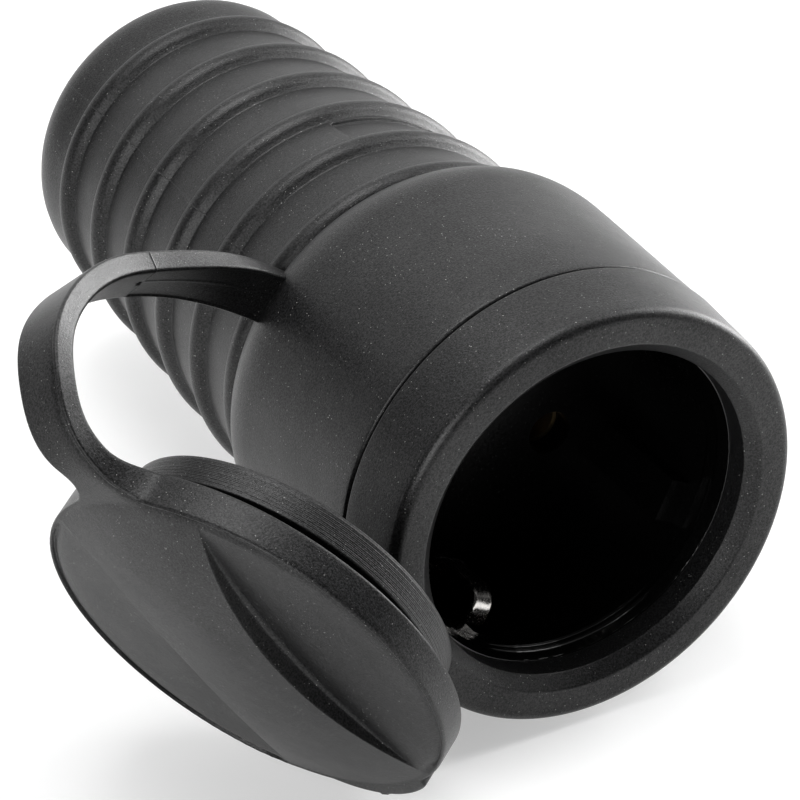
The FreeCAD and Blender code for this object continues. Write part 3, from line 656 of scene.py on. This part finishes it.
def groove(distance):
    """Depth of the groove at a distance from the edge: a steep outer wall and a soft inner one."""
    inward = distance - GROOVE_PLACE
    fade = np.exp(-np.clip(inward - GROOVE_WALL, 0, None) / GROOVE_FADE)
    return GROOVE_DEPTH * np.clip(inward / GROOVE_WALL, 0, 1) * fade


def edge_drop(distance):
    """Drop of the rounded edge at a distance from it."""
    inside = np.clip(EDGE_ROUND - distance, 0, EDGE_ROUND)
    return EDGE_ROUND - np.sqrt(np.clip(EDGE_ROUND ** 2 - inside ** 2, 0, None))


def cap_height(along, across, distance):
    """Outer face of the cap: crown, finger scoops with soft-footed walls, groove, thin lip and edge."""
    crease = CAP_RADIUS - CAP_EDGE
    crown = CAP_CROWN * np.clip(1 - (along ** 2 + across ** 2) / crease ** 2, 0, None)
    plane = np.clip((CAP_RADIUS - np.abs(across)) * math.tan(math.radians(SCOOP_SLOPE)), 0, None)
    floor = np.minimum(crown, plane)
    step = np.abs(across) - bar_half(along)
    foot = np.clip((step - FOOT_FROM) / FOOT_RUN, 0, 1)
    fall = (1 - FOOT_SHARE) * (1 - smooth(WALL_TOP, WALL_LOW, step)) + FOOT_SHARE * (1 - foot) ** 2
    ends = 1 - smooth(*BAR_FADE, np.abs(along))
    scoop = (floor - crown) * (1 - fall) * np.where(step > WALL_TOP, ends, 0.0)
    neck = (1 - smooth(*GROOVE_NECK, along)) * smooth(*GROOVE_SIDE, across)
    bordered = np.maximum(np.where(step > GROOVE_OFF_WALL, ends, 0.0), neck) * smooth(0.0, 0.3, distance)
    lip = LIP_RISE * np.exp(-((distance - LIP_PLACE) / LIP_WIDTH) ** 2)
    return crown + scoop + (lip - groove(distance)) * bordered - edge_drop(distance)


def half_rows(along, width):
    """Rows on one half of the outer face, as distances from the middle line."""
    bar = min(float(bar_half(along)), BAR_SHARE * width)
    scale = min(1.0, (width - bar) / ROW_ROOM)
    wall = [bar + step * scale for step in WALL_ROWS]
    edge = [width - inset * scale for inset in EDGE_ROWS]
    top = [min(bar * k / BAR_ROWS, wall[0] - (BAR_ROWS + 1 - k) * ROW_GAP) for k in range(1, BAR_ROWS)]
    floor = [wall[-1] + (edge[0] - wall[-1]) * k / FLOOR_ROWS for k in range(1, FLOOR_ROWS)]
    return top + wall + floor + edge


def outer_rows(along, left, right):
    """Rows of the whole outer face, from the left edge to the right."""
    return np.array([-row for row in reversed(half_rows(along, left))] + [0.0] + half_rows(along, right))


def section(left, right, thick, rows, heights):
    """Closed section: outer face, right side and corner, inner face, left corner and side."""
    low = CORNER_ROUND - thick
    turns = [math.pi / 2 * k / CORNER_STEPS for k in range(CORNER_STEPS + 1)]
    insets = [(CORNER_ROUND * (1 - math.cos(turn)), CORNER_ROUND * (1 - math.sin(turn)))
              for turn in turns]
    loop = list(zip(rows, heights))
    loop += [between((right, -EDGE_ROUND), (right, low), k / SIDE_ROWS) for k in range(1, SIDE_ROWS + 1)]
    loop += [(right - inward, rise - thick) for inward, rise in insets[1:]]
    loop += [between((right - CORNER_ROUND, -thick), (CORNER_ROUND - left, -thick), k / INNER_ROWS)
             for k in range(1, INNER_ROWS)]
    loop += [(rise - left, inward - thick) for inward, rise in insets[:-1]]
    loop += [between((-left, low), (-left, -EDGE_ROUND), k / SIDE_ROWS) for k in range(SIDE_ROWS)]
    return loop


def seamed(length, across, height, thick):
    """Mould marks on the strap: a parting line round it, a line along its inner face and a small pit."""
    rise = STRAP_SEAM_RISE * math.exp(-((length - STRAP_SEAM) / STRAP_SEAM_WIDTH) ** 2)
    if height < INNER_FACE_BAND - thick:
        past_seam = float(smooth(STRAP_SEAM - STRAP_STEP_RUN, STRAP_SEAM + STRAP_STEP_RUN, length))
        step = STRAP_STEP * (past_seam - float(smooth(*STRAP_STEP_FADE, length)))
        line = STRAP_LINE * math.exp(-((across - STRAP_LINE_PLACE) / STRAP_LINE_WIDTH) ** 2)
        line *= 1 - float(smooth(STRAP_SEAM - STRAP_LINE_FADE, STRAP_SEAM, length))
        off_length = (length - STRAP_SEAM - STRAP_PIT_PLACE[0]) / STRAP_PIT_SIZE[0]
        off_across = (across - STRAP_PIT_PLACE[1]) / STRAP_PIT_SIZE[1]
        pit = STRAP_PIT * math.exp(-(off_length ** 2 + off_across ** 2))
        return across, height - rise - line + pit - step
    if height > -OUTER_FACE_BAND:
        return across, height + rise * STRAP_SEAM_OUTER
    return across + math.copysign(rise, across), height


def strap_loops():
    """Sections of the strap, widening into the cap's neck."""
    stations = strap_stations()
    run = [0.0]
    for (place, _), (following, _) in zip(stations, stations[1:]):
        run.append(run[-1] + (following - place).length)
    middles = [tuple(place) for place, _ in stations]
    widths = [tuple(width.normalized()) for _, width in stations]
    to_cap = CAP.inverted()
    marks = np.linspace(STRAP_SEAM - MARKS_BEFORE, STRAP_SEAM + MARKS_AFTER, MARK_ROWS)
    even = np.linspace(0.0, run[-2], STRAP_ROWS)
    plain = (even < marks[0] - MARKS_CLEAR) | (even > marks[-1] + MARKS_CLEAR)
    loops = []
    for length in sorted([*even[plain], *marks]):
        place, slope = spline(run, middles, length)
        ahead = Vector(slope).normalized()
        wide = Vector(spline(run, widths, length)[0])
        wide = (wide - ahead * wide.dot(ahead)).normalized()
        out = ahead.cross(wide)
        origin = Vector(place)
        along = (to_cap @ origin).x
        at_cap = (origin - CAP_CENTRE).length < CAP_NEAR
        near = float(smooth(NECK_START - NECK_LEAD, NECK_JOIN, along)) if at_cap else 0.0
        wide = wide.lerp(CAP_SIDE, near).normalized()
        out = out.lerp(CAP_OUT, near)
        out = (out - wide * out.dot(wide)).normalized()
        half = STRAP_WIDTH / 2 if near == 0.0 else half_width(min(along, NECK_JOIN), 1)
        thick = STRAP_THICK if near == 0.0 else cap_thickness(along)
        rows = outer_rows(0.0, half, half)
        crease = float(smooth(*GROOVE_STRAP, length)) * smooth(*GROOVE_SIDE, rows)
        heights = -edge_drop(np.minimum(half - rows, rows + half)) - groove(half - rows) * crease
        loop = [seamed(length, *point, thick) for point in section(half, half, thick, rows, heights)]
        origin += out * STRAP_THICK / 2
        loops.append([origin + wide * across + out * height for across, height in loop])
    return loops


def cap_loops():
    """Sections of the cap from its neck to the tip."""
    chain = cap_outline()
    places = np.concatenate([np.linspace(*run) for run in CAP_STATIONS] + [tip_places(TIP_STATIONS)])
    loops = []
    for along in places[1:]:
        left = max(half_width(along, -1), TIP_HALF)
        right = max(half_width(along, 1), TIP_HALF)
        rows = outer_rows(along, left, right)
        to_chain = np.hypot(along - chain[None, :, 0], rows[:, None] - chain[None, :, 1]).min(1)
        distance = np.minimum(to_chain, np.minimum(right - rows, rows + left))
        heights = cap_height(along, rows, distance)
        loop = section(left, right, cap_thickness(along), rows, heights)
        loops.append([CAP @ Vector((along, across, height)) for across, height in loop])
    return loops


def build_cap():
    """One sweep: the strap's sections run on into the sections of the cap."""
    loops = strap_loops() + cap_loops()
    vertices = [point for loop in loops for point in loop]
    return new_object("cap_and_strap", vertices, skin(len(loops), len(loops[0]), False))


def build_plug():
    """Hollow plug behind the cap: recessed neck, then a band of fine turned ridges."""
    root = PLUG_ROOT - CAP_THICK
    end = -CAP_THICK - PLUG_LENGTH
    neck = PLUG_RADIUS - PLUG_NECK_DEPTH
    neck_end = -CAP_THICK - PLUG_NECK_LENGTH
    band = PLUG_LENGTH - PLUG_NECK_LENGTH
    corners = [(neck, root, 0), (neck, neck_end, PLUG_NECK_FILLET),
               (PLUG_RADIUS, neck_end, PLUG_NECK_EDGE)]
    for k in range(RIDGE_STEPS + 1):
        run = RIDGE_START + (band - RIDGE_START - RIDGE_END) * k / RIDGE_STEPS
        taper = (PLUG_END_RADIUS - PLUG_RADIUS) * run / band
        ridge = RIDGE_RISE * math.cos(k * math.pi / 2)
        ridge += RIDGE_UNEVEN * (math.sin(k * 1.9) + math.sin(k * 0.83))
        corners.append((PLUG_RADIUS + taper + ridge, neck_end - run, 0))
    inner = PLUG_END_RADIUS - PLUG_WALL
    corners += [(PLUG_END_RADIUS - PLUG_END_FALL, end, FILLET), (inner, end, PLUG_END_EDGE),
                (inner, root, 0)]
    plug = lathe("cap_plug", refined(turned_outline(corners, 6), PLUG_SPACING), PLUG_SEGMENTS)
    # Bring the turned piece's Y to the cap's Z
    axis_to_cap = Matrix(((1, 0, 0, 0), (0, 0, -1, 0), (0, 1, 0, 0), (0, 0, 0, 1)))
    plug.data.transform(Matrix.Scale(MM, 4) @ CAP @ axis_to_cap @ Matrix.Scale(1 / MM, 4))
    plug.data.update()
    return plug


# Earth clips and the well's edge

def bent_strip(line, width, thick):
    """Vertices and faces of a flat strip with rounded edges, bent along a line of (along, up) points."""
    line = np.array(line, float)
    slope = np.gradient(line, axis=0)
    slope /= np.linalg.norm(slope, axis=1)[:, None]
    half, low = width / 2, thick / 2
    corners = [(-half, -low), (half, -low), (half, low), (-half, low)]
    profile = refined(rounded(corners, [thick * CLIP_EDGE_SHARE] * 4, 5), CLIP_EDGE_SPACING)
    vertices = []
    for (along, up), (ahead, rise) in zip(line, slope):
        for across, height in profile:
            lift = height - CLIP_DISH * (across / half) ** 2
            vertices.append((across, along - rise * lift, up + ahead * lift))
    return vertices, skin(len(line), len(profile), False)


def clip_line():
    """Line of one clip: from the middle of the cross strip, up the well's side and round the nose."""
    corners = [(BOW_BASE, 0.0), (BOW_BASE, CLIP_REACH), (BOW_BASE - CLIP_KNEE, CLIP_REACH),
               (BOW_BASE - CLIP_BEND, CLIP_INNER), (BOW_BASE - CLIP_NOSE, CLIP_INNER)]
    bent = rounded(corners, CLIP_ROUNDS, 10)
    line = divided(bent, CLIP_SPACING) + bent[-1:]
    nose = BOW_BASE - CLIP_NOSE
    for k in range(1, NOSE_STEPS + 1):
        turn = math.pi / 2 * k / NOSE_STEPS
        line.append((nose - NOSE_ROUND * math.sin(turn), CLIP_INNER + NOSE_ROUND * (1 - math.cos(turn))))
    start = (nose - NOSE_ROUND, CLIP_INNER + NOSE_ROUND)
    end = (start[0] + NOSE_LEAN, CLIP_REACH - NOSE_GAP)
    return line + [between(start, end, k / 4) for k in range(1, 5)]


def build_earth_bow():
    """Cross strip, two sprung clips with outward noses and the terminal tail."""
    clip = clip_line()
    tail = [(TAIL_FROM + (TAIL_TO - TAIL_FROM) * k / 10, TAIL_PLACE) for k in range(11)]
    opposite = [(along, -up) for along, up in clip]
    strips = [(clip, CLIP_WIDTH, CLIP_THICK), (opposite, CLIP_WIDTH, CLIP_THICK),
              (tail, TAIL_WIDTH, TAIL_THICK)]
    vertices, faces = [], []
    for line, width, thick in strips:
        points, rings = bent_strip(line, width, thick)
        faces += [tuple(len(vertices) + k for k in ring) for ring in rings]
        vertices += points
    roll = Matrix.Rotation(math.radians(INSERT_ROLL), 3, "Y")
    return new_object("earth_clips", [roll @ Vector(vertex) for vertex in vertices], faces)


def lip_base(along):
    """Radius of the insert's front edge, which opens outwards in front of the well."""
    return WELL_RADIUS - LIP_SKIN + np.maximum(0.0, WELL_FRONT - along) * LIP_SLOPE


def lip_relief(theta, radius, along):
    """Flattens the beads away from the lower side and ripples the edge slightly."""
    degrees = np.degrees(theta)
    bead = smooth(LIP_BEAD_FROM - LIP_BEAD_FADE[0], LIP_BEAD_FROM, degrees)
    bead = bead * (1 - smooth(LIP_BEAD_TO, LIP_BEAD_TO + LIP_BEAD_FADE[1], degrees))
    base = lip_base(along)
    on_bead = (radius < base) & (along < WELL_FRONT + LIP_BEAD_BAND)
    flattened = np.where(on_bead, (base - radius) * (1 - bead), 0.0)
    ripple = LIP_RIPPLE * np.sin(theta * 61 + 2 * np.sin(theta * 17)) * np.sin(theta * 23 + 1.1)
    return flattened + np.where(radius < WELL_RADIUS + LIP_RIPPLE_BAND, ripple * (0.3 + 0.7 * bead), 0.0)


def build_insert_lip():
    """Rounded front edges of the moulded insert, which catch the light in front of the well."""
    front = INSERT_FRONT - LIP_SKIN
    rear = WELL_FRONT + LIP_DEPTH
    outer = INSERT_RADIUS - LIP_INSET
    corners = [(WELL_RADIUS - LIP_SKIN, rear, 0)]
    for shift, rise in LIP_BEADS:
        place = WELL_FRONT + shift
        for k in range(LIP_BEAD_STEPS + 1):
            turn = math.pi * k / LIP_BEAD_STEPS
            radius = float(lip_base(place)) - rise * math.sin(turn)
            corners.append((radius, place + rise * math.cos(turn), 0))
    corners += [(WELL_RADIUS + LIP_LAND, front, LIP_LAND_EDGE), (outer, front, 0), (outer, rear, 0)]
    return lathe("insert_lip", refined(turned_outline(corners, 8), LIP_SPACING), LIP_SEGMENTS, lip_relief)


# Materials

class Tree:
    """Node tree of a material or of the world, with short ways to add its nodes."""

    def __init__(self, owner):
        owner.use_nodes = True
        self.nodes = owner.node_tree.nodes
        self.links = owner.node_tree.links

    def feed(self, socket, value):
        """Links a socket to another, or sets its plain value."""
        if isinstance(value, bpy.types.NodeSocket):
            self.links.new(value, socket)
        else:
            socket.default_value = value

    def add(self, kind, **inputs):
        """New node with its inputs fed; an underscore stands for a space in an input's name."""
        node = self.nodes.new(kind)
        for name, value in inputs.items():
            self.feed(node.inputs[name.replace("_", " ")], value)
        return node

    def place(self, kind="Object"):
        """Texture coordinate."""
        return self.nodes.new("ShaderNodeTexCoord").outputs[kind]

    def moved(self, place, **inputs):
        """Coordinate moved, turned or scaled."""
        return self.add("ShaderNodeMapping", Vector=place, **inputs).outputs["Vector"]

    def noise(self, place, scale, detail=3.0, rough=0.5):
        """Noise between 0 and 1."""
        return self.add("ShaderNodeTexNoise", Vector=place, Scale=scale, Detail=detail,
                        Roughness=rough).outputs["Fac"]

    def span(self, value, low, high, out_low, out_high):
        """Value carried from one range to another."""
        return self.add("ShaderNodeMapRange", Value=value, From_Min=low, From_Max=high, To_Min=out_low,
                        To_Max=out_high).outputs["Result"]

    def maths(self, operation, first, second):
        """Result of an operation on two sockets or numbers."""
        node = self.nodes.new("ShaderNodeMath")
        node.operation = operation
        self.feed(node.inputs[0], first)
        self.feed(node.inputs[1], second)
        return node.outputs[0]

    def times(self, first, second):
        """Product of two sockets or numbers."""
        return self.maths("MULTIPLY", first, second)

    def mix(self, share, first, second):
        """Colour between two colours."""
        node = self.nodes.new("ShaderNodeMix")
        node.data_type = "RGBA"
        for name, value in (("Factor", share), ("A", first), ("B", second)):
            self.feed(node.inputs[name], value)
        return node.outputs["Result"]

    def bump(self, height, strength, distance, **normal):
        """Bumped normal, on another one if given as Normal."""
        return self.add("ShaderNodeBump", Height=height, Strength=strength, Distance=distance,
                        **normal).outputs["Normal"]

    def dust(self, place, scale, size, amount):
        """Mask of sparse round specks."""
        cells = self.add("ShaderNodeTexVoronoi", Vector=place, Scale=scale)
        pick = self.add("ShaderNodeSeparateColor", Color=cells.outputs["Color"])
        near = self.maths("LESS_THAN", cells.outputs["Distance"], self.times(pick.outputs["Red"], size))
        chosen = self.maths("GREATER_THAN", pick.outputs["Green"], 1 - amount)
        return self.times(near, chosen)


def start_material(name):
    """New node material with its tree and surface shader."""
    material = bpy.data.materials.new(name)
    tree = Tree(material)
    return material, tree, tree.nodes["Principled BSDF"].inputs


def shade(tone, factor=1.0):
    """Opaque colour of a tone, made lighter or darker."""
    return tuple(part * factor for part in tone) + (1.0,)


def rubber(name, rough, seed, streaks=0.0):
    """Matt black rubber: mottled sheen, fine grain and sparse white dust; streaks adds turned lines."""
    material, tree, surface = start_material(name)
    coordinate = tree.place()
    place = tree.moved(coordinate, Location=(seed, seed * 0.7, -seed))
    clouds = tree.noise(place, 75.0, 3.0, 0.55)
    rubbed = tree.noise(place, 32.0, 4.0, 0.6)
    grain = tree.noise(place, 4600.0, 3.0, 0.7)
    fine = tree.noise(place, 6500.0, 2.0, 0.6)

    blotches = tree.span(clouds, 0.35, 0.68, 0.0, 1.0)
    body = tree.mix(blotches, shade(RUBBER_TONE, 0.86), shade(RUBBER_TONE, 1.16))
    body = tree.mix(tree.span(grain, 0.42, 0.6, 0.0, 1.0), body, shade(RUBBER_TONE, 5.5))
    crumbs = tree.dust(place, 640.0, 0.055, 0.6)
    powder = tree.dust(place, 2200.0, 0.15, 1.0)
    patches = tree.span(tree.noise(place, 210.0, 2.0, 0.6), 0.36, 0.58, 0.25, 1.0)
    specks = tree.times(tree.maths("MAXIMUM", crumbs, powder), patches)
    tree.feed(surface["Base Color"], tree.mix(tree.times(specks, 0.75), body, shade(DUST_TONE)))

    sheen = tree.span(clouds, 0.3, 0.7, rough + 0.04, rough - 0.04)
    pores = tree.span(grain, 0.3, 0.7, 0.0, 1.0)
    tree.feed(surface["Roughness"], tree.maths("ADD", sheen, tree.times(pores, 0.07)))
    worn = tree.span(rubbed, 0.36, 0.66, 0.26, 0.42)
    tree.feed(surface["Specular IOR Level"], tree.times(worn, tree.span(grain, 0.36, 0.64, 0.72, 1.28)))

    normal = tree.bump(grain, 0.5, 0.00009, Normal=tree.bump(clouds, 0.4, 0.0004))
    if streaks:
        level = tree.moved(coordinate, Rotation=CAP.to_3x3().inverted().to_euler())
        lines = tree.noise(tree.moved(level, Scale=(12.0, 12.0, 3600.0)), 1.0, 2.0, 0.6)
        normal = tree.bump(lines, streaks, 0.0001, Normal=normal)
    tree.feed(surface["Normal"], tree.bump(fine, 0.3, 0.00002, Normal=normal))
    return material


def moulded(name, tone, rough, gloss=0.5):
    """Hard moulded plastic with faint flow marks."""
    material, tree, surface = start_material(name)
    place = tree.place()
    flow = tree.noise(place, 140.0, 2.0)
    grain = tree.noise(place, 2600.0, 2.0)
    tree.feed(surface["Base Color"], tree.mix(flow, shade(tone, 0.85), shade(tone, 1.2)))
    tree.feed(surface["Roughness"], tree.span(grain, 0.3, 0.7, rough - 0.04, rough + 0.08))
    tree.feed(surface["Specular IOR Level"], gloss)
    tree.feed(surface["Normal"], tree.bump(grain, 0.15, 0.00002))
    return material


def metal(name, tone, rough, brushed):
    """Metal with drawn streaks, slight tarnish and handling marks."""
    material, tree, surface = start_material(name)
    place = tree.place()
    lines = tree.noise(tree.moved(place, Scale=(1.0, 0.06, 1.0)), 5200.0, 2.0)
    stain = tree.span(tree.noise(place, 320.0, 3.0), 0.35, 0.7, 0.0, 1.0)
    tree.feed(surface["Base Color"], tree.mix(stain, shade(tone), shade(tone, 0.72)))
    tree.feed(surface["Roughness"], tree.span(lines, 0.3, 0.7, rough - 0.06, rough + 0.1))
    tree.feed(surface["Metallic"], 1.0)
    tree.feed(surface["Normal"], tree.bump(lines, brushed, 0.00003))
    return material


def give(obj, material):
    """One material on the whole object."""
    obj.data.materials.clear()
    obj.data.materials.append(material)


# Pieces

grip_mat = rubber("grip_rubber_mat", 0.33, 0.0)
soft_mat = rubber("soft_rubber_mat", 0.325, 0.31)
plug_mat = rubber("plug_rubber_mat", 0.325, 0.17, 0.3)
insert_mat = moulded("insert_plastic_mat", INSERT_TONE, 0.2, gloss=0.12)
lip_mat = moulded("insert_lip_mat", INSERT_TONE, 0.15)
carrier_mat = moulded("carrier_plastic_mat", CARRIER_TONE, 0.5)
nickel_mat = metal("nickel_mat", NICKEL_TONE, 0.2, 0.25)
# The brass tone carries painted shade, darkened for the contacts that sit deep in the pin holes
brass_mat = metal("brass_mat", SHADED_BRASS_TONE, 0.45, 0.3)
steel_mat = metal("steel_mat", STEEL_TONE, 0.32, 0.3)

handle = build_handle()
give(handle, grip_mat)
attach(handle, "root")
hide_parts("rubber_handle")

sleeve = build_sleeve()
give(sleeve, soft_mat)
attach(sleeve, "root")
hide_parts("cap_with_strap")

cap = build_cap()
give(cap, soft_mat)
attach(cap, "root")
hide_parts("cap_with_strap")

plug = build_plug()
give(plug, plug_mat)
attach(plug, "root")
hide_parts("cap_with_strap")

clips = build_earth_bow()
give(clips, nickel_mat)
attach(clips, "root")
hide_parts("earth_bow")

lip = build_insert_lip()
give(lip, lip_mat)
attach(lip, "root")

slots = {row["node"]: row["material_slot"] for row in frame["record"]["subparts"]}
by_slot = {"insert_plastic": insert_mat, "carrier_plastic": carrier_mat, "saddle_plastic": carrier_mat,
           "nickelled_brass": nickel_mat, "contact_brass": brass_mat, "screw_steel": steel_mat,
           "handle_rubber": grip_mat, "cap_rubber": soft_mat}
for name, node in frame["nodes"].items():
    give(node, by_slot[slots[name]])


# Floor, world and lights

def build_floor():
    """Plain pale floor, white to the camera and in reflections where it is fully lit."""
    half = FLOOR_HALF * MM
    corners = [(-half, -half), (half, -half), (half, half), (-half, half)]
    mesh = bpy.data.meshes.new("floor")
    mesh.from_pydata([corner + (FLOOR_LEVEL * MM,) for corner in corners], [], [(0, 1, 2, 3)])
    floor = bpy.data.objects.new("floor", mesh)
    scene.collection.objects.link(floor)
    material, tree, surface = start_material("floor_mat")
    mottle = tree.noise(tree.place(), 40.0, 2.0)
    tree.feed(surface["Base Color"], tree.mix(mottle, *(shade(tone) for tone in FLOOR_TONES)))
    tree.feed(surface["Roughness"], 0.9)
    path = tree.nodes.new("ShaderNodeLightPath").outputs
    seen = tree.maths("MAXIMUM", path["Is Camera Ray"], path["Is Glossy Ray"])
    seen = tree.maths("MAXIMUM", seen, path["Is Transmission Ray"])
    tree.feed(surface["Emission Color"], WHITE)
    tree.feed(surface["Emission Strength"], tree.times(seen, FLOOR_GLOW))
    give(floor, material)


def build_world():
    """White surroundings, brighter behind and above the object."""
    world = bpy.data.worlds.new("studio")
    scene.world = world
    tree = Tree(world)
    facing = tree.nodes.new("ShaderNodeVectorMath")
    facing.operation = "DOT_PRODUCT"
    facing.inputs[1].default_value = BRIGHT_SIDE
    tree.feed(facing.inputs[0], tree.place("Generated"))
    background = tree.nodes["Background"].inputs
    tree.feed(background["Color"], WHITE)
    strength = tree.span(facing.outputs["Value"], 0.02, 0.9, WORLD_DIM, WORLD_BRIGHT)
    tree.feed(background["Strength"], strength)


def area_light(name, place, target, size, power):
    """Soft box aimed at a point."""
    data = bpy.data.lights.new(name, "AREA")
    data.shape = "RECTANGLE"
    data.size = size[0] * MM
    data.size_y = size[1] * MM
    data.energy = power
    light = bpy.data.objects.new(name, data)
    light.location = Vector(place) * MM
    light.rotation_mode = "QUATERNION"
    light.rotation_quaternion = (Vector(target) - Vector(place)).normalized().to_track_quat("-Z", "Y")
    scene.collection.objects.link(light)


build_floor()
build_world()
for soft_box in SOFT_BOXES:
    area_light(*soft_box)


# Camera

def build_camera():
    """Camera that looks down on the mouth and the open cap."""
    data = bpy.data.cameras.new("camera")
    data.lens = CAMERA_LENS
    data.sensor_width = CAMERA_SENSOR
    data.clip_start = CAMERA_NEAR * MM
    data.clip_end = CAMERA_FAR * MM
    camera = bpy.data.objects.new("camera", data)
    forward = CAMERA_FORWARD.normalized()
    right = (CAMERA_RIGHT - forward * CAMERA_RIGHT.dot(forward)).normalized()
    pose = Matrix((right, right.cross(forward), -forward)).transposed().to_4x4()
    pose.translation = CAMERA_PLACE * MM
    camera.matrix_world = pose
    scene.collection.objects.link(camera)
    scene.camera = camera


build_camera()
scene.view_settings.view_transform = "Standard"
